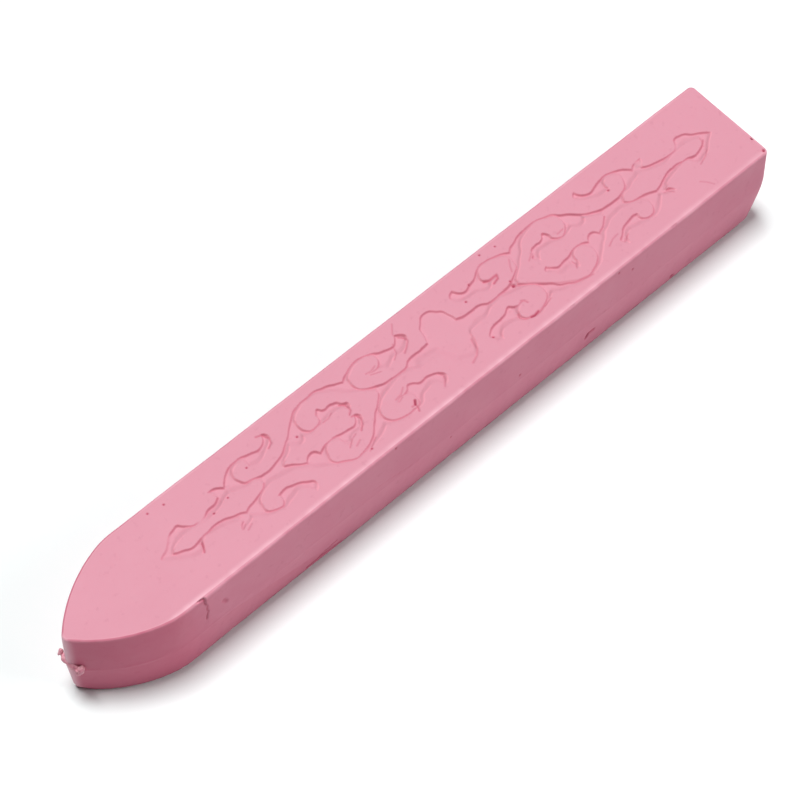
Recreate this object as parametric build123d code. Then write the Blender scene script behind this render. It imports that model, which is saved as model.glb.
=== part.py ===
from build123d import *
import os
from math import atan2, cos, degrees, radians, sin, sqrt, tan

# Sealing wax stick: a bar of wax cast round a cotton wick, in a mould of two halves.
# Millimetres. +X runs from the pointed nose to the flat butt, +Z is up, and the origin lies
# under the middle of the bar, on the surface that the bar rests on.

# Bar. Plan sizes are taken at the parting line, where the two mould halves meet.
LENGTH = 90.0              # nose tip to butt
WIDTH = 11.9
HEIGHT = 11.5
PARTING_HEIGHT = 5.45      # base to parting line
PARTING_STEP = 0.25        # the lower mould half is this much smaller all round
UPPER_DRAFT = 2.0          # degrees, the upper walls lean in towards the top
LOWER_DRAFT = 0.8          # degrees, the lower walls lean in towards the base
TOP_EDGE_RADIUS = 0.25
BASE_EDGE_RADIUS = 0.4
BUTT_CORNER_RADIUS = 0.8
CORNER_SHARE = 0.9         # an edge round reaches at most this share of the sharpest corner beside it

# Pointed nose, in plan: a shoulder arc leaves each side wall, a flatter flank arc follows it,
# and a small round closes the tip.
SHOULDER_RADIUS = 8.7
SHOULDER_TURN = 14.5       # degrees
FLANK_RADIUS = 16.5
NOSE_TIP_RADIUS = 0.9

# Wick, along the parting line.
WICK_DIAMETER = 2.0
WICK_STUB = 0.4            # trimmed end, proud of the nose tip
WICK_COVER = 4.0           # wax left between the wick's inner end and the butt
WICK_CLEARANCE = 0.05      # room round the wick
WICK_END_CHAMFER = 0.25

# Sunk scrollwork in the upper face.
SCROLL_DEPTH = 0.25
SCROLL_NOSE_MARGIN = 12.4  # nose tip to the scrollwork's end
SCROLL_BUTT_MARGIN = 2.95
SCROLL_EDGE_MARGIN = 1.35  # side edge of the upper face to the widest curve

# The scrollwork has two lines of symmetry, so one quarter is drawn, as (along, across) distances
# from its middle. Each run is one smooth curve, and runs meet at corners. It is stretched to the
# upper face less the margins above.
CARTOUCHE_ARCH = [(0.0, 3.72), (0.6, 3.58), (1.1, 3.15), (1.55, 2.7), (1.8, 2.0), (2.0, 1.1)]
OUTLINE_RUNS = [
    # neck, then round the first eye to the tip of its tongue
    [(2.0, 1.1), (3.3, 0.83), (5.0, 0.73), (5.6, 0.35), (6.5, 0.23), (8.2, 0.43), (10.0, 1.06),
     (10.9, 2.0), (10.75, 3.1), (9.9, 3.7), (8.6, 3.95), (7.5, 3.68), (7.12, 3.0), (7.6, 2.3),
     (9.0, 2.35)],
    # first leaf: scalloped edge towards the neck, then its back up to the fork
    [(9.0, 2.35), (8.6, 1.95), (7.6, 1.87), (6.8, 1.36), (6.3, 1.52), (5.8, 1.85), (4.6, 1.93),
     (3.5, 2.36), (3.1, 2.95), (3.45, 3.62), (3.98, 3.9)],
    [(3.98, 3.9), (4.45, 3.2), (6.1, 3.24), (7.3, 3.96), (8.7, 4.3), (10.2, 4.0), (11.45, 3.32)],
    # arch, down to the axis and round the second eye
    [(11.45, 3.32), (15.1, 4.43), (17.2, 4.05), (19.2, 2.7), (21.0, 1.33), (23.0, 0.72),
     (25.0, 0.8), (26.2, 1.48), (26.45, 2.45), (25.8, 3.08), (24.8, 3.1), (24.5, 2.6), (24.7, 2.2)],
    # second leaf: scalloped edge, then its back
    [(24.7, 2.2), (24.1, 1.93), (22.2, 2.4), (21.5, 2.85), (20.95, 3.35), (21.5, 4.27)],
    [(21.5, 4.27), (22.5, 3.14), (23.6, 3.28), (25.0, 3.66), (26.5, 3.32), (28.0, 2.2)],
    # thorn
    [(28.0, 2.2), (28.9, 2.7), (29.72, 2.75)],
    [(29.72, 2.75), (29.5, 2.3), (29.0, 1.8)],
    # stem and spearhead
    [(29.0, 1.8), (30.5, 1.3), (32.1, 0.98), (33.0, 1.02), (33.55, 1.6), (34.05, 2.08),
     (34.8, 1.95), (36.3, 1.0), (37.6, 0.0)],
]
# Islands that stay level with the upper face, each drawn from one point on the axis to another.
LEAF_ISLAND_RUNS = [
    [(9.6, 0.0), (10.2, 0.65), (12.0, 2.1), (13.0, 3.1), (14.0, 3.75), (17.0, 3.72), (18.1, 2.7),
     (17.9, 1.85), (17.1, 1.1), (16.2, 1.4), (15.85, 2.4), (15.5, 2.75), (15.05, 2.35),
     (14.0, 2.2), (13.35, 2.0), (13.2, 1.6), (12.6, 1.05), (13.2, 0.37)],
    [(13.2, 0.37), (13.7, 1.1), (14.8, 1.15), (16.4, 0.85), (17.7, 0.9), (18.4, 1.25)],
    [(18.4, 1.25), (19.1, 0.65), (20.1, 1.25)],
    [(20.1, 1.25), (21.0, 0.62), (21.9, 0.0)],
]
SPEAR_ISLAND_RUNS = [
    [(24.7, 0.0), (25.0, 0.35), (26.5, 0.8), (28.1, 1.3)],
    [(28.1, 1.3), (29.4, 0.83), (31.4, 0.4), (33.0, 0.68), (34.5, 0.77), (36.3, 0.0)],
]
DRAWN_HALF_LENGTH = OUTLINE_RUNS[-1][-1][0]
DRAWN_HALF_WIDTH = max(across for run in OUTLINE_RUNS for along, across in run)


def plan_outline(inset):
    """The bar seen from above, as a face, with its edge moved inwards by inset."""
    half_width = WIDTH / 2
    turn = radians(SHOULDER_TURN)

    # Arc centres of the nose, first with the shoulder at x = 0, then moved so that the tip fits.
    shoulder_y = half_width - SHOULDER_RADIUS
    flank_x = (FLANK_RADIUS - SHOULDER_RADIUS) * sin(turn)
    flank_y = shoulder_y - (FLANK_RADIUS - SHOULDER_RADIUS) * cos(turn)
    tip_x = flank_x - sqrt((FLANK_RADIUS - NOSE_TIP_RADIUS) ** 2 - flank_y ** 2)
    shift = NOSE_TIP_RADIUS - LENGTH / 2 - tip_x
    tip_turn = degrees(atan2(-flank_y, tip_x - flank_x))

    corner_x = LENGTH / 2 - BUTT_CORNER_RADIUS
    corner_y = half_width - BUTT_CORNER_RADIUS
    side_y = half_width - inset
    butt_x = LENGTH / 2 - inset
    flank_start = 90 + SHOULDER_TURN
    half = [
        Line((butt_x, 0), (butt_x, corner_y)),
        CenterArc((corner_x, corner_y), BUTT_CORNER_RADIUS - inset, 0, 90),
        Line((corner_x, side_y), (shift, side_y)),
        CenterArc((shift, shoulder_y), SHOULDER_RADIUS - inset, 90, SHOULDER_TURN),
        CenterArc((flank_x + shift, flank_y), FLANK_RADIUS - inset, flank_start, tip_turn - flank_start),
        CenterArc((tip_x + shift, 0), NOSE_TIP_RADIUS - inset, tip_turn, 180 - tip_turn),
    ]
    return make_face(with_mirror_image(half, Plane.XZ))


def mould_half(inset, height, draft, edge_radius):
    """One half of the bar, drafted upwards from the parting line and rounded along its outer edge."""
    half = extrude(plan_outline(inset), height, taper=draft)
    outer_face = half.faces().sort_by(Axis.Z)[-1]
    sharpest_corner = min(BUTT_CORNER_RADIUS, NOSE_TIP_RADIUS) - inset - height * tan(radians(draft))
    return fillet(outer_face.edges(), min(edge_radius, CORNER_SHARE * sharpest_corner))


def upper_face_half_width():
    return WIDTH / 2 - (HEIGHT - PARTING_HEIGHT) * tan(radians(UPPER_DRAFT))


def arc_pairs(points):
    """A smooth curve through points, as a pair of tangent arcs from each one to the next."""
    places = [Vector(*point) for point in points]
    chords = [end - start for start, end in zip(places, places[1:])]

    # The heading at an inner point is that of the circle through it and its two neighbours.
    # The headings at the ends continue the last circle.
    headings = [(before.normalized() * after.length + after.normalized() * before.length).normalized()
                for before, after in zip(chords, chords[1:])]
    headings.insert(0, mirrored_heading(headings[0], chords[0]))
    headings.append(mirrored_heading(headings[-1], chords[-1]))

    arcs = []
    for start, end, leave, arrive in zip(places, places[1:], headings, headings[1:]):
        chord = end - start
        advance = chord.dot(leave + arrive)
        turn = 2 * (1 - leave.dot(arrive))
        reach = chord.dot(chord) / (advance + sqrt(advance ** 2 + turn * chord.dot(chord)))
        ahead = start + leave * reach
        behind = end - arrive * reach
        meeting = (ahead + behind) * 0.5
        arcs.append(TangentArc(start, meeting, tangent=leave))
        arcs.append(TangentArc(meeting, end, tangent=behind - ahead))
    return arcs


def mirrored_heading(heading, chord):
    along = chord.normalized()
    return along * (2 * heading.dot(along)) - heading


def scroll_curves(runs):
    """Curves through the drawn runs, stretched to the upper face less its margins."""
    half_length = (LENGTH - SCROLL_NOSE_MARGIN - SCROLL_BUTT_MARGIN) / 2
    half_width = upper_face_half_width() - SCROLL_EDGE_MARGIN
    stretch_along = half_length / DRAWN_HALF_LENGTH
    stretch_across = half_width / DRAWN_HALF_WIDTH
    curves = []
    for run in runs:
        curves += arc_pairs([(along * stretch_along, across * stretch_across) for along, across in run])
    return curves


def with_mirror_image(edges, plane):
    return edges + [edge.mirror(plane) for edge in edges]


def scroll_cutter():
    """The sunk scrollwork as a solid, from its floor to just above the upper face."""
    arch = [(-along, across) for along, across in CARTOUCHE_ARCH[:0:-1]] + CARTOUCHE_ARCH
    far_side = scroll_curves([arch]) + with_mirror_image(scroll_curves(OUTLINE_RUNS), Plane.YZ)
    outline = Wire(with_mirror_image(far_side, Plane.XZ))
    islands = []
    for runs in (LEAF_ISLAND_RUNS, SPEAR_ISLAND_RUNS):
        island = with_mirror_image(scroll_curves(runs), Plane.XZ)
        islands.append(Wire(island))
        islands.append(Wire([edge.mirror(Plane.YZ) for edge in island]))
    middle = (SCROLL_NOSE_MARGIN - SCROLL_BUTT_MARGIN) / 2
    floor = Pos(middle, 0, HEIGHT - SCROLL_DEPTH) * Face(outline, islands)
    return extrude(floor, 2 * SCROLL_DEPTH, dir=(0, 0, 1))


def wick_rod(diameter, inner_end):
    """A round bar on the wick's axis, from its trimmed end to inner_end."""
    outer_end = -LENGTH / 2 - WICK_STUB
    axis_start = Plane((outer_end, 0, PARTING_HEIGHT), x_dir=(0, 1, 0), z_dir=(1, 0, 0))
    return extrude(axis_start * Circle(diameter / 2), inner_end - outer_end)


def make_wax_body():
    upper = mould_half(0, HEIGHT - PARTING_HEIGHT, UPPER_DRAFT, TOP_EDGE_RADIUS)
    lower_upside_down = mould_half(PARTING_STEP, PARTING_HEIGHT, LOWER_DRAFT, BASE_EDGE_RADIUS)
    lower = mirror(lower_upside_down, about=Plane.XY)
    bar = Pos(0, 0, PARTING_HEIGHT) * (upper + lower)
    bore = wick_rod(WICK_DIAMETER + 2 * WICK_CLEARANCE, LENGTH / 2 - WICK_COVER)
    return bar - bore - scroll_cutter()


def make_wick():
    wick = wick_rod(WICK_DIAMETER, LENGTH / 2 - WICK_COVER - WICK_CLEARANCE)
    trimmed_end = wick.faces().sort_by(Axis.X)[0]
    return chamfer(trimmed_end.edges(), WICK_END_CHAMFER)


os.makedirs("parts", exist_ok=True)
export_step(make_wax_body(), "parts/wax_body.step")
export_step(make_wick(), "parts/wick.step")
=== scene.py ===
import math

import bpy
import numpy as np
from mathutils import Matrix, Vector, noise
from mathutils.bvhtree import BVHTree


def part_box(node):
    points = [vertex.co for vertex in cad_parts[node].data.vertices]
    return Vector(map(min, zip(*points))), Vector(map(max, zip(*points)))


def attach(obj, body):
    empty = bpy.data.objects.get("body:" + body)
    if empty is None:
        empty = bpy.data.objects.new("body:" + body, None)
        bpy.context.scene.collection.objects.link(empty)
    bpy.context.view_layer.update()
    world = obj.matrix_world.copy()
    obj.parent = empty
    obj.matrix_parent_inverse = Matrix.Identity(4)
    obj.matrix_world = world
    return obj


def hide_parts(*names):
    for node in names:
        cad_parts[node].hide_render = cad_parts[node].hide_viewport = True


# Sealing wax stick: a bar of pink wax with sunk scrollwork, cast round a cotton wick.
# Metres. +X runs from the pointed nose to the flat butt, -Y is the side that faces the camera
# and +Z is up, out of the scrollwork.
MM = 0.001

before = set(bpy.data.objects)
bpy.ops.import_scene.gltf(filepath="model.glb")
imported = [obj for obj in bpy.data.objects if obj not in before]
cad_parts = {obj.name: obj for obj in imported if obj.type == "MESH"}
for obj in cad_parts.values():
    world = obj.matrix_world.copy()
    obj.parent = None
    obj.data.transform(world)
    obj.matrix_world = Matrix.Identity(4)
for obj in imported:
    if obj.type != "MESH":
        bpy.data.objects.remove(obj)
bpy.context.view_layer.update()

# Overall sizes, from the frame.
bar_low, bar_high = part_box("wax_body")
wick_low, wick_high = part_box("wick")
LENGTH = 2 * bar_high.x
WIDTH = bar_high.y - bar_low.y
HEIGHT = bar_high.z
PARTING_HEIGHT = (wick_low.z + wick_high.z) / 2
WICK_RADIUS = (wick_high.z - wick_low.z) / 2

# Shape of the bar, with the values that the solid has.
PARTING_STEP = 0.25 * MM
UPPER_DRAFT = math.radians(2.0)
LOWER_DRAFT = math.radians(0.8)
TOP_EDGE_RADIUS = 0.25 * MM
BASE_EDGE_RADIUS = 0.4 * MM
BUTT_CORNER_RADIUS = 0.8 * MM
SHOULDER_RADIUS = 8.7 * MM
SHOULDER_TURN = math.radians(14.5)
FLANK_RADIUS = 16.5 * MM
NOSE_TIP_RADIUS = 0.9 * MM

# Wear, which the solid doesn't have: the butt's corners grow rounder from the wear height down to
# the base, and the foot of the nose is set back.
WORN_CORNER_RADIUS = 2.6 * MM
WEAR_HEIGHT = 7 * MM
WEAR_CURVE = 1.3
NOSE_WEAR = 0.25 * MM
NOSE_WEAR_HEIGHT = 1.1 * MM
NOSE_WEAR_REACH = 2.2 * MM

# Mesh spacing: along and across the upper face, up the walls, and across the plain base.
GRID = 0.08 * MM
LEAST_ARC_STEPS = 8
WALL_ROW = 0.16 * MM
EDGE_ROWS = 7
CORNER_STEPS = 16
BASE_COLUMNS = 8

# Scrollwork walls slope from a rounded lip, outside the drawn edge, to a foot inside it. They
# wander a little, and the depth varies from place to place, as a share of the solid's. The shift,
# in metres, makes a second noise unlike the first.
SCROLL_LIP = 0.06 * MM
SCROLL_FOOT = 0.14 * MM
SCROLL_WALL = SCROLL_LIP + SCROLL_FOOT
SCROLL_WOBBLE = 0.16 * MM
WOBBLE_LENGTH = 1.1 * MM
SECOND_NOISE_SHIFT = 0.5
DEPTH_SHARE = 0.95
DEPTH_SWING = 0.4
DEPTH_SWING_LENGTH = 4 * MM
DEPTH_LIMITS = (0.6, 1.1)
# Walls that face the near side get painted shade, and walls that face the nose get painted light, each up
# to these shares.
SCROLL_SHADE = 0.45
SCROLL_WALL_LIGHT = 0.65
WIPE_DIRECTION = np.array((-0.26, -0.97))
WIPE_STEPS = np.array((0.1, 0.25, 0.4, 0.55)) * MM
NEAR_SIDE = np.array((-0.09, -0.996))
NOSE_SIDE = np.array((-0.995, 0.1))

# A face of the frame is level where its normal's z is above the first limit, and a vertex is on
# the near side where its normal's y is below the second.
LEVEL_FACING = 0.999
NEAR_FACING = -0.4

# Marks in the wax, in millimetres. Pits are (x, y, radius, depth) on the upper face and
# (x, z, radius, depth) on the near side. Scratches are (points, half width, depth, stain).
PIT_STAIN = 0.95
TOP_PITS = [
    (13.6, 5.1, 0.20, 0.10), (15.5, 4.8, 0.18, 0.10), (8.8, 1.9, 0.22, 0.10),
    (28.9, 2.0, 0.24, 0.12), (8.1, -2.9, 0.24, 0.12), (10.4, 3.2, 0.20, 0.10),
    (-20.0, 2.3, 0.20, 0.08), (-14.0, 1.7, 0.22, 0.10), (-9.5, -4.3, 0.22, 0.10),
    (13.8, 0.2, 0.34, 0.25), (-30.4, 4.9, 0.20, 0.08), (-28.6, 4.6, 0.20, 0.08),
    (44.6, -3.4, 0.32, 0.20), (44.4, -5.3, 0.32, 0.20), (-23.5, 1.0, 0.18, 0.08),
    (-25.6, 0.6, 0.22, 0.06), (13.8, 0.7, 0.22, 0.12),
]
TOP_SCRATCHES = [
    ([(-2.7, -3.1), (-3.0, -3.5)], 0.22, 0.15, 1.0),
    ([(-3.0, -3.5), (-3.0, -3.9), (-3.2, -4.3)], 0.17, 0.08, 0.5),
    ([(-3.0, -3.5), (-3.4, -3.5)], 0.18, 0.06, 0.4),
    ([(11.8, 2.5), (12.3, 2.2), (13.3, 2.2), (13.1, 1.8), (12.4, 1.6)], 0.22, 0.08, 0.6),
    ([(11.8, -2.6), (11.6, -3.1), (11.9, -3.6), (12.7, -3.8)], 0.18, 0.06, 0.4),
    ([(12.5, -3.8), (12.9, -3.9), (13.5, -3.8)], 0.22, 0.12, 0.85),
    ([(13.0, -1.7), (13.3, -1.9), (13.4, -2.3)], 0.18, 0.06, 0.4),
    ([(13.9, 0.1), (15.5, -1.1), (17.4, -2.8), (19.1, -3.9), (20.6, -4.3)], 0.24, 0.03, 0.3),
    ([(36.7, -3.6), (37.2, -4.1), (37.6, -4.8)], 0.16, 0.05, 0.25),
    ([(33.1, -2.0), (33.5, -2.1), (33.8, -2.7)], 0.16, 0.05, 0.25),
    ([(-28.5, -1.0), (-28.7, -1.5), (-29.0, -2.0)], 0.18, 0.08, 0.6),
    ([(6.3, -1.6), (5.9, -2.9), (5.4, -3.4), (4.5, -3.8)], 0.20, 0.06, 0.3),
    ([(-8.6, 1.6), (-8.1, 1.2), (-8.1, 0.7), (-8.2, 0.3), (-8.6, 0.0)], 0.18, 0.08, 0.45),
    ([(-8.6, -0.3), (-8.1, -0.4), (-8.0, -1.0), (-8.3, -1.6), (-8.9, -2.1)], 0.18, 0.08, 0.45),
    ([(-17.1, 4.3), (-16.4, 4.0), (-16.2, 3.4), (-16.4, 2.8), (-17.0, 2.5)], 0.18, 0.08, 0.45),
    ([(1.0, 3.5), (1.4, 3.1), (1.4, 2.5), (0.8, 2.0), (0.2, 1.6)], 0.18, 0.07, 0.4),
    ([(1.1, -2.3), (1.4, -2.8), (1.2, -3.3), (0.6, -3.9)], 0.18, 0.06, 0.3),
]
# Faint scratches on the upper face, as points only. They share one (half width, depth, stain).
FAINT_STROKES = [
    [(-4.3, 2.4), (-3.7, 2.3), (-3.0, 2.5)], [(-4.0, 2.0), (-3.0, 1.6)],
    [(-4.1, -1.8), (-3.3, -1.7), (-2.6, -1.2)], [(-4.0, -2.2), (-3.4, -2.0)],
    [(-11.1, 1.1), (-10.4, 1.1), (-9.8, 1.4)], [(1.5, 5.0), (0.7, 4.0)],
    [(0.0, 3.2), (-0.4, 2.2), (-1.1, 1.7)], [(-11.0, -2.8), (-10.2, -2.2), (-9.6, -2.0)],
    [(-10.4, -3.1), (-9.7, -2.8)], [(-9.8, -4.4), (-9.1, -4.0), (-8.3, -3.5)],
    [(20.2, -1.7), (20.3, -2.2), (19.9, -2.7)], [(24.2, -3.0), (25.1, -2.6), (25.9, -2.5)],
    [(25.8, -3.6), (26.7, -3.2)], [(14.4, -3.8), (15.5, -3.5)], [(13.6, -3.9), (14.9, -3.5)],
    [(21.3, 1.6), (22.1, 1.7)], [(38.3, -2.1), (39.4, -1.7), (40.1, -1.2)],
    [(40.6, 0.3), (40.2, -0.6)], [(-24.6, -2.6), (-24.1, -2.3)], [(-24.3, -3.0), (-23.6, -2.7)],
    [(15.5, 2.7), (15.0, 2.0), (14.7, 1.4)], [(17.7, 1.7), (16.9, 1.2)],
]
FAINT_GROOVE = (0.14, 0.06, 0.3)
# Stretches where the scrollwork fades out, each (points, half width), and by what share.
FADED = [
    ([(0.9, -0.3), (2.6, -0.5), (3.0, -1.6), (3.5, -2.6), (4.9, -3.3)], 0.9),
    ([(-9.3, -2.1), (-10.2, -2.7)], 0.8),
    ([(-27.1, 0.9), (-26.7, 1.4)], 0.8),
    ([(-32.2, 0.8), (-30.7, 1.7)], 0.9),
    ([(37.7, 1.5), (37.7, 1.9)], 0.7),
    ([(33.6, 2.2), (33.6, 2.5)], 0.7),
]
FADE = 0.8
NEAR_PITS = [
    (9.2, 6.3, 0.25, 0.10), (25.0, 9.5, 0.25, 0.10), (23.0, 10.8, 0.22, 0.10),
    (-7.6, 11.1, 0.25, 0.10), (-0.3, 4.8, 0.20, 0.08), (31.7, 0.9, 0.50, 0.20),
]
NEAR_SCRATCHES = [
    ([(-32.6, 11.5), (-32.2, 11.2), (-32.3, 10.6), (-32.0, 9.9), (-32.1, 9.2), (-32.0, 8.7), (-32.3, 7.3)],
     0.14, 0.10, 0.5),
    ([(-32.8, 11.5), (-32.3, 11.3)], 0.30, 0.25, 0.3),
    ([(-30.1, 8.5), (-29.8, 7.9)], 0.40, 0.12, 0.35),
    ([(18.9, 2.6), (19.2, 3.3), (19.9, 3.3)], 0.32, 0.20, 1.0),
    ([(-17.8, 1.2), (-16.8, 1.5), (-15.6, 1.7)], 0.20, 0.10, 0.5),
    ([(-19.5, 0.7), (-17.5, 0.9), (-15.0, 0.6)], 0.30, 0.15, 0.7),
    ([(-10.8, 6.6), (-8.7, 6.3), (-5.6, 5.6)], 0.12, 0.03, 0.15),
    ([(16.2, 11.4), (16.6, 11.4)], 0.25, 0.10, 0.0),
    ([(30.7, 11.4), (31.1, 11.4)], 0.25, 0.10, 0.0),
]

# Unevenness of the whole bar: height and wavelength of a slow ripple and of a fine grain.
RIPPLE_HEIGHT = 0.03 * MM
RIPPLE_LENGTH = 6 * MM
GRAIN_HEIGHT = 0.012 * MM
GRAIN_LENGTH = 0.9 * MM

# Uneven bead along the parting line.
BEAD_HEIGHT = 0.06 * MM
BEAD_REACH = 0.35 * MM
BEAD_LENGTH = 2.5 * MM
BEAD_BIAS = 0.3

# Chips along the rims. Along the top only grain above the limit is chipped off.
BASE_CHIP_DEPTH = 0.10 * MM
BASE_RIM_REACH = 0.7 * MM
TOP_CHIP_DEPTH = 0.02 * MM
TOP_CHIP_LIMIT = 0.1
TOP_RIM_REACH = 0.5 * MM

# From the crack towards the butt the upper near wall stands proud. That rises at once and dies
# away along the bar, and it grows upwards from the start height, over the blend.
CRACK_X = -32.2 * MM
PROUD_HEIGHT = 0.14 * MM
PROUD_RISE = 0.15 * MM
PROUD_LENGTH = 9 * MM
PROUD_START_Z = 6 * MM
PROUD_BLEND_Z = 4 * MM

# Hollow in the lower near wall: (x, z) places on its slanting upper edge, and the x places
# between which it comes and goes. Below that edge the wax is also a deeper red.
SLANT_LINE = np.array([(-33.0, 6.3), (-24.8, 4.2), (-18.0, 2.3), (-16.0, 1.4)]) * MM
HOLLOW_SPAN = np.array((-33, -29, -19, -16)) * MM
HOLLOW_SHARES = (0, 1, 1, 0)
HOLLOW_EDGE = 0.3 * MM
HOLLOW_DEPTH = 0.04 * MM
HOLLOW_DEEPENING = 0.1

# Shares of the colours below. The upper face has the most pale bloom with painted sheen. The nose's
# walls get painted shade and no bloom, and both change over its span. The near edge of the upper
# face gets a painted highlight, less towards the butt, as do the rims and the nose tip.
NOSE_SPAN = np.array((-36, -30)) * MM
NOSE_SHADE = 0.21
TOP_BLOOM_AND_SHEEN = 0.7
WALL_BLOOM_AND_SHEEN = 0.2
TIP_REACH = 1.3 * MM
TIP_HIGHLIGHT = 0.75
RIM_HIGHLIGHT = 0.25
NEAR_EDGE_INSET = 0.4 * MM
NEAR_EDGE_REACH = 0.62 * MM
NEAR_EDGE_SPAN = np.array((5, 30)) * MM
NEAR_EDGE_HIGHLIGHT = (0.44, 0.26)
PATCHY_GRAIN = 0.5
PATCHY_RIPPLE = 0.8
PATCHY_LIMITS = (0.4, 1.6)

# Wick: strands of the cord, which stop short of the bar's nose and of the solid's inner end, and
# the lumps (centre, half sizes, roughness) of its ragged end, in millimetres.
STRANDS = 3
STRAND_PITCH = 7 * MM
STRAND_OFFSET = 0.5 * WICK_RADIUS
STRAND_RADIUS = 0.96 * (WICK_RADIUS - STRAND_OFFSET)
STRAND_OUTER_INSET = 0.3 * MM
STRAND_INNER_INSET = 0.5 * WICK_RADIUS
STRAND_STATIONS = 300
STRAND_SIDES = 14
WICK_END_LUMPS = [
    ((-44.72, 1.25, 6.45), (0.40, 0.28, 0.42), 0.30),
    ((-44.65, 0.30, 6.20), (0.50, 1.00, 0.36), 0.22),
    ((-44.65, -0.45, 6.10), (0.48, 0.80, 0.38), 0.22),
    ((-44.40, -1.30, 6.00), (0.52, 0.45, 0.42), 0.30),
    ((-44.85, -1.25, 6.30), (0.16, 0.20, 0.16), 0.30),
    ((-44.85, -1.45, 5.85), (0.16, 0.16, 0.14), 0.30),
]
LUMP_ROWS = 18
LUMP_SIDES = 32
LUMP_FINE_LENGTH = 0.35 * MM
LUMP_COARSE_LENGTH = 0.9 * MM

# Colours, linear. Stains, and the painted shade on the scrollwork's walls and the nose's walls, are fresh
# red up to the limit and darken beyond it. After the bloom, which is partly painted sheen, come the colours
# of painted highlights and of painted light.
WAX_DEEP = (0.560, 0.150, 0.231, 1)
WAX_PALE = (0.600, 0.170, 0.255, 1)
WAX_BLOOM_AND_SHEEN = (0.699, 0.346, 0.419, 1)
WAX_HIGHLIGHT = (0.900, 0.550, 0.630, 1)
WAX_WALL_LIGHT = (0.950, 0.380, 0.470, 1)
WAX_FRESH_STAIN_AND_SHADE = (0.460, 0.030, 0.080, 1)
WAX_RED = (0.300, 0.030, 0.075, 1)
FRESH_LIMIT = 0.6
WICK_DARK = (0.500, 0.150, 0.220, 1)
WICK_PALE = (0.800, 0.400, 0.460, 1)
FLOOR_WHITE = (0.900, 0.950, 0.945, 1)
LIGHT_WHITE = (1, 1, 1, 1)

# Finishes. Each noise is (scale per metre, detail), and each bump is (strength, distance).
NOISE_LOW = 0.3
NOISE_HIGH = 0.7
WAX_CLOUDS = (90, 4)
WAX_SPECKS = (1300, 2)
SPECK_SHARE = 0.10
SPECK_LOW = 0.62
SPECK_HIGH = 0.75
WAX_SHINE = (260, 3)
WAX_ROUGHNESS = (0.42, 0.58)
WAX_SPECULAR = 0.12
WAX_SUBSURFACE = 0.06
WAX_SUBSURFACE_RADIUS = (1.0, 0.45, 0.5)
WAX_SUBSURFACE_SCALE = 0.6 * MM
WAX_TOOTH = (1400, 4)
WAX_BUMP = (0.12, 0.05 * MM)
WICK_FIBRES = (2200, 3)
WICK_ROUGHNESS = 0.5
WICK_BUMP = (0.4, 0.1 * MM)
FLOOR_ROUGHNESS = 0.9

# Floor and lights. Each light is (direction from the origin, side, power).
FLOOR_SIZE = 8
LIGHT_DISTANCE = 3
KEY_LIGHT = ((-0.01, 0.15, 0.985), 1.0, 93)
FILL_LIGHT = ((0.6, -0.6, 0.5), 1.5, 36)
WORLD_STRENGTH = 0.02

# Camera, fitted to the photograph's 802 x 798 frame.
IMAGE_WIDTH = 802
SENSOR_WIDTH = 36
FOCAL_PIXELS = 2853.9
CAMERA_AZIMUTH = math.radians(-42.13)
CAMERA_ELEVATION = math.radians(60.19)
CAMERA_DISTANCE = 289.07 * MM
CAMERA_TARGET = Vector((-1.386, 0.396, 5.65)) * MM


# Bar

def arc(centre, radius, start, end, steps=None):
    """Points on an arc, about a grid step apart unless told, with the directions that they face."""
    steps = steps or max(LEAST_ARC_STEPS, round(abs(end - start) * radius / GRID))
    angles = np.linspace(start, end, steps + 1)
    facing = np.stack([np.cos(angles), np.sin(angles)], axis=1)
    return np.array(centre) + radius * facing, facing


def far_outline(corner_radius):
    """The far half of the bar in plan at the parting line, from the nose tip to the butt."""
    half_width = WIDTH / 2
    shoulder_y = half_width - SHOULDER_RADIUS
    flank_x = (FLANK_RADIUS - SHOULDER_RADIUS) * math.sin(SHOULDER_TURN)
    flank_y = shoulder_y - (FLANK_RADIUS - SHOULDER_RADIUS) * math.cos(SHOULDER_TURN)
    tip_x = flank_x - math.sqrt((FLANK_RADIUS - NOSE_TIP_RADIUS) ** 2 - flank_y ** 2)
    tip_turn = math.atan2(-flank_y, tip_x - flank_x)
    shift = NOSE_TIP_RADIUS - LENGTH / 2 - tip_x
    corner_x = LENGTH / 2 - corner_radius
    corner_y = half_width - corner_radius

    side_steps = round((LENGTH / 2 - shift) / GRID)
    side_x = np.linspace(shift, corner_x, side_steps + 1)
    side = np.stack([side_x, np.full_like(side_x, half_width)], axis=1)
    quarter = math.pi / 2
    stretches = [
        arc((tip_x + shift, 0), NOSE_TIP_RADIUS, math.pi, tip_turn),
        arc((flank_x + shift, flank_y), FLANK_RADIUS, tip_turn, quarter + SHOULDER_TURN),
        arc((shift, shoulder_y), SHOULDER_RADIUS, quarter + SHOULDER_TURN, quarter),
        (side, np.tile((0.0, 1.0), (len(side), 1))),
        arc((corner_x, corner_y), corner_radius, quarter, 0, CORNER_STEPS),
    ]
    points = np.vstack([stretches[0][0]] + [stretch[0][1:] for stretch in stretches[1:]])
    facing = np.vstack([stretches[0][1]] + [stretch[1][1:] for stretch in stretches[1:]])
    return points, facing


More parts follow.
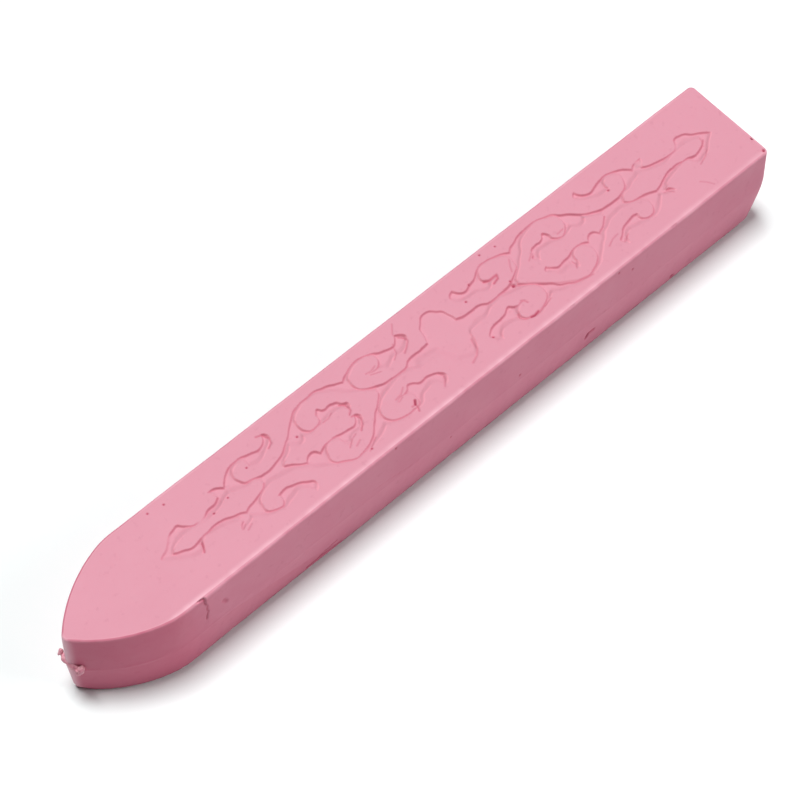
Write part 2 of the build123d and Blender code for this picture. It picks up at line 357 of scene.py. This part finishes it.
def wall_rows():
    """(wear of the butt's corners, inset, height) of each row of the wall, from base rim to top rim."""
    top_wall = HEIGHT - TOP_EDGE_RADIUS
    base_inset = PARTING_STEP + PARTING_HEIGHT * math.tan(LOWER_DRAFT)
    top_inset = (HEIGHT - PARTING_HEIGHT) * math.tan(UPPER_DRAFT)
    turns = np.linspace(0, math.pi / 2, EDGE_ROWS)

    rows = []
    for turn in turns:
        inset = base_inset + BASE_EDGE_RADIUS * (1 - math.sin(turn))
        rows.append((inset, BASE_EDGE_RADIUS * (1 - math.cos(turn))))
    for height in np.arange(BASE_EDGE_RADIUS + WALL_ROW, top_wall - WALL_ROW / 2, WALL_ROW):
        lower = base_inset * (1 - height / PARTING_HEIGHT)
        upper = top_inset * (height - PARTING_HEIGHT) / (HEIGHT - PARTING_HEIGHT)
        rows.append((max(lower, upper), height))
    for turn in turns:
        inset = top_inset + TOP_EDGE_RADIUS * (1 - math.cos(turn))
        rows.append((inset, top_wall + TOP_EDGE_RADIUS * math.sin(turn)))
    return [(max(1 - height / WEAR_HEIGHT, 0) ** WEAR_CURVE, inset, height) for inset, height in rows]


def plan_ring(corner_radius, columns):
    """All round the bar in plan: the far side from the tip, the butt, and the near side back again."""
    far, far_facing = far_outline(corner_radius)
    butt_y = np.linspace(far[-1, 1], -far[-1, 1], columns + 1)[1:-1]
    butt = np.stack([np.full_like(butt_y, far[-1, 0]), butt_y], axis=1)
    butt_facing = np.tile((1.0, 0.0), (len(butt), 1))
    flip = np.array((1.0, -1.0))
    ring = np.vstack([far, butt, (far * flip)[:0:-1]])
    facing = np.vstack([far_facing, butt_facing, (far_facing * flip)[:0:-1]])
    return ring, facing, len(far) - 1


def bar_mesh():
    """The plain bar as vertices and faces: rings up the wall, a fine grid on top, a coarse one below.

    Also returned is which vertices lie on the upper face, and which on its rim.
    """
    columns = BASE_COLUMNS * round(WIDTH / GRID / BASE_COLUMNS)
    sharp_ring, sharp_facing, last = plan_ring(BUTT_CORNER_RADIUS, columns)
    worn_ring, worn_facing, _ = plan_ring(WORN_CORNER_RADIUS, columns)
    count = len(sharp_ring)
    rings = []
    for wear, inset, height in wall_rows():
        sharp = sharp_ring - inset * sharp_facing
        worn = worn_ring - inset * worn_facing
        rings.append(np.column_stack([sharp + wear * (worn - sharp), np.full(count, height)]))

    def ring_ids(row, station, parts):
        """Vertex numbers across one station of a rim, from its far end to its near end."""
        first = row * count
        if station == last:
            step = columns // parts
            return [first + last + step * part for part in range(parts + 1)]
        return [first + station] + [None] * (parts - 1) + [first + count - station]

    vertices = list(rings)
    total = count * len(rings)

    def cap(row, parts):
        """A grid over the rim of one row. Returns the vertex numbers by station and column."""
        nonlocal total
        share = np.linspace(0, 1, parts + 1)[1:-1]
        rim = rings[row]
        ids = np.zeros((last + 1, parts + 1), int)
        for station in range(1, last + 1):
            across = ring_ids(row, station, parts)
            if station < last:
                start, end = rim[station], rim[count - station]
                vertices.append(start + share[:, None] * (end - start))
                across[1:-1] = range(total, total + parts - 1)
                total += parts - 1
            ids[station] = across
        ids[0] = row * count
        return ids

    here = np.arange(count)
    ahead = np.roll(here, -1)
    faces = []
    for row in range(len(rings) - 1):
        low, high = row * count, (row + 1) * count
        faces += np.stack([low + ahead, low + here, high + here, high + ahead], axis=1).tolist()

    top = cap(len(rings) - 1, columns)
    faces += np.stack([top[0, 1:], top[1, 1:], top[1, :-1]], axis=1).tolist()
    cells = np.stack([top[1:-1, :-1], top[1:-1, 1:], top[2:, 1:], top[2:, :-1]], axis=-1)
    faces += cells.reshape(-1, 4).tolist()

    base = cap(0, BASE_COLUMNS)
    faces += np.stack([base[0, 1:], base[1, :-1], base[1, 1:]], axis=1).tolist()
    cells = np.stack([base[1:-2, 1:], base[1:-2, :-1], base[2:-1, :-1], base[2:-1, 1:]], axis=-1)
    faces += cells.reshape(-1, 4).tolist()
    for part in range(BASE_COLUMNS):
        edge = list(range(base[last, part], base[last, part + 1] + 1))
        faces.append([int(base[last - 1, part + 1]), int(base[last - 1, part])] + edge)

    on_top = np.zeros(total, bool)
    on_top[np.unique(top)] = True
    on_rim = np.zeros(total, bool)
    on_rim[count * (len(rings) - 1):count * len(rings)] = True
    return np.vstack(vertices), faces, on_top, on_rim


def scroll_regions():
    """The frame's upper face and the scrollwork's floor, each laid flat, and the depth between them."""
    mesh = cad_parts["wax_body"].data
    floors = {}
    for polygon in mesh.polygons:
        if polygon.normal.z > LEVEL_FACING:
            level = round(polygon.center.z / MM, 2)
            floors.setdefault(level, []).append(tuple(polygon.vertices))
    upper, sunk = sorted(floors, reverse=True)[:2]
    flat = [Vector((vertex.co.x, vertex.co.y, 0)) for vertex in mesh.vertices]
    trees = [BVHTree.FromPolygons(flat, floors[level]) for level in (upper, sunk)]
    return trees[0], trees[1], (upper - sunk) * MM


def scroll_share(places, upper, sunk):
    """0 on the upper face, 1 on the scrollwork's floor, and between the two on its walls."""
    result = np.zeros(len(places))
    for index, (x, y) in enumerate(places):
        spot = Vector((x, y, 0))
        outside = sunk.find_nearest(spot, SCROLL_WALL)[3]
        if outside is None:
            continue
        inside = upper.find_nearest(spot, SCROLL_WALL)[3]
        past_lip = SCROLL_LIP - outside + (SCROLL_WALL if inside is None else inside)
        result[index] = min(max(past_lip / SCROLL_WALL, 0), 1)
    return result


def scroll_depth(places):
    """How far the upper face is sunk at each (x, y) place, and how much of a wall it is there.

    Walls that face the near side are sharp, and the others are wiped into long slopes. Two shares
    of walls are returned: those that face the near side, which get painted shade, and those that
    face the nose, which get painted light.
    """
    upper, sunk, depth = scroll_regions()
    flat = np.column_stack([places, np.zeros(len(places))])
    wobble = np.stack([
        slow_noise(flat, WOBBLE_LENGTH),
        slow_noise(flat + SECOND_NOISE_SHIFT, WOBBLE_LENGTH),
    ], axis=1)
    places = places + SCROLL_WOBBLE * wobble
    share = scroll_share(places, upper, sunk)
    in_scroll = share > 0
    inside = places[in_scroll]
    ahead = np.zeros(len(places))
    near_wall = np.zeros(len(places))
    nose_wall = np.zeros(len(places))
    wiped = [scroll_share(inside + step * WIPE_DIRECTION, upper, sunk) for step in WIPE_STEPS]
    ahead[in_scroll] = np.mean(wiped, axis=0)
    for wall, side in ((near_wall, NEAR_SIDE), (nose_wall, NOSE_SIDE)):
        reach = SCROLL_WALL / 2 * side
        drop = scroll_share(inside + reach, upper, sunk) - scroll_share(inside - reach, upper, sunk)
        wall[in_scroll] = np.clip(drop, 0, 1)
    swing = DEPTH_SWING * slow_noise(flat, DEPTH_SWING_LENGTH)
    depth *= np.clip(DEPTH_SHARE + swing, *DEPTH_LIMITS)
    kept = np.ones(len(places))
    for line, half_width in FADED:
        kept = np.minimum(kept, 1 - FADE * falloff(line_distance(places, line), half_width * MM))
    sunk_by = depth * np.minimum(smooth(share), ahead)
    return kept * sunk_by, kept * near_wall, kept * nose_wall


def slow_noise(points, wavelength):
    """Smooth noise at each point, about -1 to 1. It is the same in every run."""
    scale = 1 / wavelength
    return np.array([noise.noise(Vector(point) * scale) for point in points.tolist()])


def smooth(share):
    """A share from 0 to 1, eased at both ends."""
    return share * share * (3 - 2 * share)


def falloff(distance, reach):
    """1 at no distance, falling smoothly to 0 at the reach."""
    return smooth(np.clip(1 - distance / reach, 0, 1))


def line_distance(places, line):
    """Distance of each place from a line through points given in millimetres."""
    nearest = np.full(len(places), np.inf)
    for start, end in zip(line[:-1], line[1:]):
        start = np.array(start) * MM
        along = np.array(end) * MM - start
        share = np.clip((places - start) @ along / (along @ along), 0, 1)
        nearest = np.minimum(nearest, np.hypot(*(places - start - share[:, None] * along).T))
    return nearest


def mark(places, pits, scratches):
    """Depth and stain of pits (x, y, radius, depth) and scratches (points, half width, depth, stain)."""
    depth = np.zeros(len(places))
    stain_and_shade = np.zeros(len(places))
    for x, y, radius, sunk in pits:
        hole = falloff(np.hypot(*(places - np.array((x, y)) * MM).T), radius * MM)
        depth = np.maximum(depth, sunk * MM * hole)
        stain_and_shade = np.maximum(stain_and_shade, PIT_STAIN * hole)
    for line, half_width, sunk, colour in scratches:
        groove = falloff(line_distance(places, line), half_width * MM)
        depth = np.maximum(depth, sunk * MM * groove)
        stain_and_shade = np.maximum(stain_and_shade, colour * groove)
    return depth, stain_and_shade


def cast_surface(vertices, normals, on_top, on_rim):
    """How far each vertex of the plain bar stands out along its normal, and its shares of colour."""
    x, y, z = vertices.T
    on_near = (normals[:, 1] < NEAR_FACING) & ~on_top
    ripple = slow_noise(vertices, RIPPLE_LENGTH)
    grain = slow_noise(vertices, GRAIN_LENGTH)
    offset = RIPPLE_HEIGHT * ripple + GRAIN_HEIGHT * grain

    bead = falloff(np.abs(z - PARTING_HEIGHT), BEAD_REACH)
    offset += BEAD_HEIGHT * bead * (slow_noise(vertices, BEAD_LENGTH) + BEAD_BIAS)

    base_rim = falloff(z, BASE_RIM_REACH)
    top_rim = falloff(HEIGHT - z, TOP_RIM_REACH) * ~on_top
    offset -= BASE_CHIP_DEPTH * base_rim * np.clip(grain + ripple, 0, 1)
    offset -= TOP_CHIP_DEPTH * top_rim * np.clip(grain - TOP_CHIP_LIMIT, 0, 1)

    past = x - CRACK_X
    step = np.clip(past / PROUD_RISE, 0, 1) * np.exp(-np.maximum(past, 0) / PROUD_LENGTH)
    offset += PROUD_HEIGHT * on_near * step * np.clip((z - PROUD_START_Z) / PROUD_BLEND_Z, 0, 1)

    slant = np.interp(x, *SLANT_LINE.T)
    stretch = np.interp(x, HOLLOW_SPAN, HOLLOW_SHARES)
    below = on_near * stretch * np.clip((slant - z) / HOLLOW_EDGE, 0, 1)
    offset -= HOLLOW_DEPTH * below

    # Marks and scrollwork, the stains in them, painted shade on the nose's walls and the deeper colour of
    # the hollow.
    stain_and_shade = np.interp(x, NOSE_SPAN, (NOSE_SHADE, 0.0)) + HOLLOW_DEEPENING * below
    depth, colour = mark(vertices[on_near][:, [0, 2]], NEAR_PITS, NEAR_SCRATCHES)
    offset[on_near] -= depth
    stain_and_shade[on_near] = np.maximum(stain_and_shade[on_near], colour)
    faint = [(line, *FAINT_GROOVE) for line in FAINT_STROKES]
    depth, colour = mark(vertices[on_top][:, :2], TOP_PITS, TOP_SCRATCHES + faint)
    sunk, near_wall, nose_wall = scroll_depth(vertices[on_top, :2])
    offset[on_top] -= depth + sunk
    # Painted shade on the scrollwork's walls that face the near side, or a mark's stain where that is more.
    stain_and_shade[on_top] = np.maximum(SCROLL_SHADE * near_wall, colour)

    # Painted highlights on the edges and the nose tip, painted light on the scrollwork's walls that face
    # the nose, and the pale bloom with painted sheen.
    nose_tip = falloff(np.hypot(x + LENGTH / 2, y), TIP_REACH) * ~on_top
    stain_and_shade *= 1 - nose_tip
    patchy = np.clip(1 + PATCHY_GRAIN * grain + PATCHY_RIPPLE * ripple, *PATCHY_LIMITS)
    near_edge = falloff(y - bar_low.y - NEAR_EDGE_INSET, NEAR_EDGE_REACH) * on_top
    near_edge *= np.interp(x, NEAR_EDGE_SPAN, NEAR_EDGE_HIGHLIGHT)
    highlit = np.maximum(RIM_HIGHLIGHT * np.maximum(top_rim, on_rim), near_edge)
    painted_highlight = np.maximum(patchy * highlit, TIP_HIGHLIGHT * nose_tip)
    painted_wall_light = np.zeros(len(vertices))
    painted_wall_light[on_top] = SCROLL_WALL_LIGHT * nose_wall
    bloom_and_sheen = np.where(on_top, TOP_BLOOM_AND_SHEEN, np.interp(x, NOSE_SPAN, (0.0, WALL_BLOOM_AND_SHEEN)))
    return offset, {"stain_and_shade": np.clip(stain_and_shade, 0, 1), "painted_highlight": painted_highlight, "bloom_and_sheen": bloom_and_sheen, "painted_wall_light": painted_wall_light}


def add_object(name, mesh, node, material):
    """A piece of the given mesh that stands for one node of the frame."""
    mesh.shade_smooth()
    mesh.update()
    mesh.materials.append(material)
    piece = bpy.data.objects.new(name, mesh)
    bpy.context.scene.collection.objects.link(piece)
    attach(piece, "root")
    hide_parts(node)


def make_bar():
    """The bar with its cast surface, and its shares of colour as attributes."""
    vertices, faces, on_top, on_rim = bar_mesh()
    mesh = bpy.data.meshes.new("wax_body")
    mesh.from_pydata(vertices.tolist(), [], faces)
    mesh.update()
    normals = np.zeros(len(vertices) * 3, np.float32)
    mesh.vertex_normals.foreach_get("vector", normals)
    normals = normals.reshape(-1, 3)

    offset, colours = cast_surface(vertices, normals, on_top, on_rim)
    vertices = vertices + normals * offset[:, None]
    from_tip = np.hypot(vertices[:, 0] + LENGTH / 2, vertices[:, 1])
    low_down = falloff(vertices[:, 2], NOSE_WEAR_HEIGHT)
    vertices[:, 0] += NOSE_WEAR * low_down * falloff(from_tip, NOSE_WEAR_REACH)
    mesh.vertices.foreach_set("co", vertices.astype(np.float32).ravel())
    for name, values in colours.items():
        layer = mesh.attributes.new(name, "FLOAT", "POINT")
        layer.data.foreach_set("value", values.astype(np.float32))
    add_object("wax_bar", mesh, "wax_body", wax_material())


# Wick

def tube(path, radius, sides):
    """A closed tube round a path, as vertices and faces."""
    ahead = np.gradient(path, axis=0)
    ahead /= np.linalg.norm(ahead, axis=1)[:, None]
    across = np.cross(ahead, (0.0, 0.0, 1.0))
    across /= np.linalg.norm(across, axis=1)[:, None]
    upward = np.cross(across, ahead)
    turns = np.linspace(0, 2 * math.pi, sides, endpoint=False)[:, None]
    rings = []
    for place, aside, up in zip(path, across, upward):
        rings.append(place + radius * (np.cos(turns) * aside + np.sin(turns) * up))
    here = np.arange(sides)
    after = np.roll(here, -1)
    faces = []
    for row in range(len(path) - 1):
        low, high = row * sides, (row + 1) * sides
        faces += np.stack([low + here, low + after, high + after, high + here], axis=1).tolist()
    faces.append(here[::-1].tolist())
    faces.append((here + (len(path) - 1) * sides).tolist())
    return np.vstack(rings), faces


def lump(centre, half_sizes, roughness):
    """A ragged closed lump of waxed fibre, as vertices and faces."""
    vertices = [(0.0, 0.0, -1.0)]
    for tilt in np.linspace(-math.pi / 2, math.pi / 2, LUMP_ROWS + 2)[1:-1]:
        level = math.cos(tilt)
        for turn in np.linspace(0, 2 * math.pi, LUMP_SIDES, endpoint=False):
            vertices.append((level * math.cos(turn), level * math.sin(turn), math.sin(tilt)))
    vertices.append((0.0, 0.0, 1.0))
    faces = []
    for side in range(LUMP_SIDES):
        after = (side + 1) % LUMP_SIDES
        faces.append([0, 1 + after, 1 + side])
        for row in range(LUMP_ROWS - 1):
            low, high = 1 + row * LUMP_SIDES, 1 + (row + 1) * LUMP_SIDES
            faces.append([low + side, low + after, high + after, high + side])
        top = 1 + (LUMP_ROWS - 1) * LUMP_SIDES
        faces.append([top + side, top + after, top + LUMP_SIDES])
    middle = np.array(centre) * MM
    places = np.array(vertices) * np.array(half_sizes) * MM + middle
    fine = slow_noise(places, LUMP_FINE_LENGTH)
    coarse = slow_noise(places, LUMP_COARSE_LENGTH)
    swell = 1 + roughness * fine + roughness * coarse
    return (places - middle) * swell[:, None] + middle, faces


def make_wick():
    """Strands twisted along the bar's middle, and a ragged waxed end that stands out of the nose."""
    shells = []
    outer_end = STRAND_OUTER_INSET - LENGTH / 2
    inner_end = wick_high.x - STRAND_INNER_INSET
    stations = np.linspace(outer_end, inner_end, STRAND_STATIONS)
    for strand in range(STRANDS):
        turns = 2 * math.pi * (stations / STRAND_PITCH + strand / STRANDS)
        path = np.stack([
            stations,
            STRAND_OFFSET * np.cos(turns),
            PARTING_HEIGHT + STRAND_OFFSET * np.sin(turns),
        ], axis=1)
        shells.append(tube(path, STRAND_RADIUS, STRAND_SIDES))
    for centre, half_sizes, roughness in WICK_END_LUMPS:
        shells.append(lump(centre, half_sizes, roughness))

    vertices, faces, total = [], [], 0
    for places, shell in shells:
        vertices.append(places)
        faces += [[total + corner for corner in face] for face in shell]
        total += len(places)
    mesh = bpy.data.meshes.new("wick")
    mesh.from_pydata(np.vstack(vertices).tolist(), [], faces)
    add_object("wick_cord", mesh, "wick", wick_material())


# Materials

def shader_node(tree, kind, **values):
    """A new shader node with the given input values."""
    made = tree.nodes.new(kind)
    for name, value in values.items():
        made.inputs[name.replace("_", " ")].default_value = value
    return made


def mottle(tree, place, scale, detail):
    """Noise in the object's own metres."""
    texture = shader_node(tree, "ShaderNodeTexNoise", Scale=scale, Detail=detail)
    tree.links.new(place, texture.inputs["Vector"])
    return texture.outputs["Fac"]


def blend(tree, share, low, high):
    """A colour between two others, each a value or a socket."""
    mix = tree.nodes.new("ShaderNodeMix")
    mix.data_type = "RGBA"
    tree.links.new(share, mix.inputs["Factor"])
    for name, colour in (("A", low), ("B", high)):
        socket = next(i for i in mix.inputs if i.name == name and i.type == "RGBA")
        if isinstance(colour, tuple):
            socket.default_value = colour
        else:
            tree.links.new(colour, socket)
    return next(o for o in mix.outputs if o.type == "RGBA")


def spread(tree, value, low, high, start=NOISE_LOW, end=NOISE_HIGH):
    """A value stretched from one range, that of a noise unless told, to another."""
    stretch = shader_node(tree, "ShaderNodeMapRange", From_Min=start, From_Max=end, To_Min=low, To_Max=high)
    tree.links.new(value, stretch.inputs["Value"])
    return stretch.outputs["Result"]


def attribute(tree, name):
    """A share of colour that the mesh carries."""
    reader = tree.nodes.new("ShaderNodeAttribute")
    reader.attribute_name = name
    return reader.outputs["Fac"]


def roughen(tree, shader, height, strength, distance):
    """A fine bump on the shader."""
    bump = shader_node(tree, "ShaderNodeBump", Strength=strength, Distance=distance)
    tree.links.new(height, bump.inputs["Height"])
    tree.links.new(bump.outputs["Normal"], shader.inputs["Normal"])


def new_material(name):
    """A new material, as (material, node tree, shader)."""
    material = bpy.data.materials.new(name)
    material.use_nodes = True
    tree = material.node_tree
    return material, tree, tree.nodes["Principled BSDF"]


def wax_material():
    """Pink wax: clouded colour, a pale bloom with painted sheen on top, painted highlights on edges and the
    nose tip, painted light and shade on the scrollwork's walls and painted shade on the nose's walls, deep
    red where it is pitted or torn.
    """
    material, tree, shader = new_material("pink_wax")
    place = tree.nodes.new("ShaderNodeTexCoord").outputs["Object"]

    clouds = spread(tree, mottle(tree, place, *WAX_CLOUDS), 0, 1)
    colour = blend(tree, clouds, WAX_DEEP, WAX_PALE)
    # Pale bloom, which also paints sheen on the upper face; the nose's walls have none, which paints shade
    # there.
    colour = blend(tree, attribute(tree, "bloom_and_sheen"), colour, WAX_BLOOM_AND_SHEEN)
    specks = spread(tree, mottle(tree, place, *WAX_SPECKS), 0, SPECK_SHARE, SPECK_LOW, SPECK_HIGH)
    colour = blend(tree, specks, colour, WAX_RED)
    # Painted highlights on the rims, the near edge of the upper face and the nose tip.
    colour = blend(tree, attribute(tree, "painted_highlight"), colour, WAX_HIGHLIGHT)
    # Painted light on the scrollwork's walls that face the nose.
    colour = blend(tree, attribute(tree, "painted_wall_light"), colour, WAX_WALL_LIGHT)
    # Stains, with painted shade on the nose's walls and on the scrollwork's walls that face the near side.
    stain_and_shade = attribute(tree, "stain_and_shade")
    colour = blend(tree, spread(tree, stain_and_shade, 0, FRESH_LIMIT, 0, FRESH_LIMIT), colour, WAX_FRESH_STAIN_AND_SHADE)
    colour = blend(tree, spread(tree, stain_and_shade, 0, 1, FRESH_LIMIT, 1), colour, WAX_RED)
    tree.links.new(colour, shader.inputs["Base Color"])

    shine = spread(tree, mottle(tree, place, *WAX_SHINE), *WAX_ROUGHNESS)
    tree.links.new(shine, shader.inputs["Roughness"])
    shader.inputs["Specular IOR Level"].default_value = WAX_SPECULAR
    shader.inputs["Subsurface Weight"].default_value = WAX_SUBSURFACE
    shader.inputs["Subsurface Radius"].default_value = WAX_SUBSURFACE_RADIUS
    shader.inputs["Subsurface Scale"].default_value = WAX_SUBSURFACE_SCALE
    roughen(tree, shader, mottle(tree, place, *WAX_TOOTH), *WAX_BUMP)
    return material


def wick_material():
    """Cotton soaked with pink wax, with painted shade between its fibres, where its bump is low."""
    material, tree, shader = new_material("waxed_cotton")
    place = tree.nodes.new("ShaderNodeTexCoord").outputs["Object"]
    fibres = spread(tree, mottle(tree, place, *WICK_FIBRES), 0, 1)
    tree.links.new(blend(tree, fibres, WICK_DARK, WICK_PALE), shader.inputs["Base Color"])
    shader.inputs["Roughness"].default_value = WICK_ROUGHNESS
    roughen(tree, shader, fibres, *WICK_BUMP)
    return material


# Stage, light and camera

def make_stage():
    """A plain pale floor."""
    bpy.ops.mesh.primitive_plane_add(size=FLOOR_SIZE)
    floor = bpy.context.object
    floor.name = "floor"
    material, _, shader = new_material("white_floor")
    shader.inputs["Base Color"].default_value = FLOOR_WHITE
    shader.inputs["Roughness"].default_value = FLOOR_ROUGHNESS
    floor.data.materials.append(material)


def area_light(name, direction, side, power):
    """A square light that points at the origin."""
    data = bpy.data.lights.new(name, "AREA")
    data.shape = "SQUARE"
    data.size = side
    data.energy = power
    light = bpy.data.objects.new(name, data)
    direction = Vector(direction).normalized()
    light.location = direction * LIGHT_DISTANCE
    light.rotation_euler = direction.to_track_quat("Z", "Y").to_euler()
    bpy.context.scene.collection.objects.link(light)
    return light


def make_light():
    """A key light from above, a fill light without highlights, and a dim white surround."""
    world = bpy.data.worlds.new("studio")
    world.use_nodes = True
    background = world.node_tree.nodes["Background"]
    background.inputs["Color"].default_value = LIGHT_WHITE
    background.inputs["Strength"].default_value = WORLD_STRENGTH
    bpy.context.scene.world = world
    area_light("key", *KEY_LIGHT)
    fill = area_light("fill", *FILL_LIGHT)
    fill.visible_glossy = False


def make_camera():
    """A camera where the photograph was taken from."""
    data = bpy.data.cameras.new("camera")
    data.sensor_width = SENSOR_WIDTH
    data.lens = data.sensor_width * FOCAL_PIXELS / IMAGE_WIDTH
    camera = bpy.data.objects.new("camera", data)
    level = math.cos(CAMERA_ELEVATION)
    back = Vector((
        math.sin(CAMERA_AZIMUTH) * level,
        -math.cos(CAMERA_AZIMUTH) * level,
        math.sin(CAMERA_ELEVATION),
    ))
    camera.location = CAMERA_TARGET + back * CAMERA_DISTANCE
    camera.rotation_euler = back.to_track_quat("Z", "Y").to_euler()
    bpy.context.scene.collection.objects.link(camera)
    bpy.context.scene.camera = camera
    bpy.context.scene.view_settings.view_transform = "Standard"


make_bar()
make_wick()
make_stage()
make_light()
make_camera()
